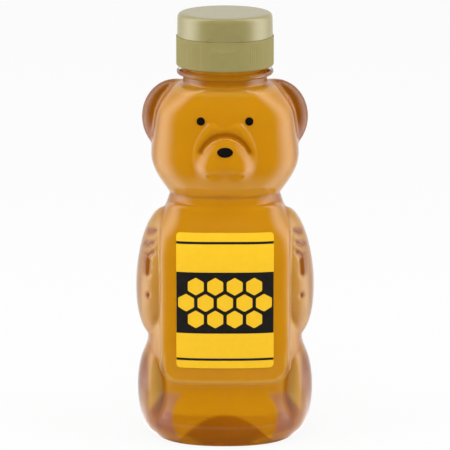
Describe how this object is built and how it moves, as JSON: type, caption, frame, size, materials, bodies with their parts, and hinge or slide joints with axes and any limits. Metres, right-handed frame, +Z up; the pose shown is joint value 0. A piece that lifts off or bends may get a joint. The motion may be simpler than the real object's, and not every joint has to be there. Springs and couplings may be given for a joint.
{
  "type": "honey bear bottle",
  "caption": "Clear squeeze bottle shaped like a sitting bear, full of honey, with a front label, printed eyes and nose, and a screw cap with a flip lid.",
  "frame": {"origin": "on the neck axis at the base the bottle stands on, under the middle of the bear", "axes": "+Z up along the neck, the bear's face looks along -Y, +X is the bear's left"},
  "size_m": [0.0668, 0.0521, 0.1608],
  "materials": {
    "clear_shell": "clear gloss",
    "honey": "clear liquid",
    "label_film": "satin print",
    "black_ink": "gloss",
    "foil": "bright",
    "liner_foam": "matte",
    "cap_plastic": "satin"
  },
  "bodies": {
    "bottle": {"bottle": "clear_shell", "honey_fill": "honey", "front_label": "label_film", "left_eye": "black_ink", "right_eye": "black_ink", "nose": "black_ink", "foil_seal": "foil"},
    "liner": {"cap_gasket": "liner_foam"},
    "cap": {"cap_base": "cap_plastic", "living_hinge": "cap_plastic"},
    "lid": {"flip_lid": "cap_plastic"}
  },
  "joints": [
    {"name": "cap_lift", "type": "slide", "parent": "bottle", "child": "liner", "axis": [0, 0, 1], "range_m": [0, 0.0047]},
    {"name": "cap_turn", "type": "hinge", "parent": "liner", "child": "cap", "pos_m": [0, 0, 0.15], "axis": [0, 0, 1], "range_deg": [0, 400]},
    {"name": "lid_flip", "type": "hinge", "parent": "cap", "child": "lid", "pos_m": [0, 0.01703, 0.15229], "axis": [-1, 0, 0], "range_deg": [0, 165], "deforming": ["living_hinge"]}
  ],
  "couplings": [
    {"joint": "cap_turn", "follows": "cap_lift", "rad_per_m": 1484.3}
  ]
}
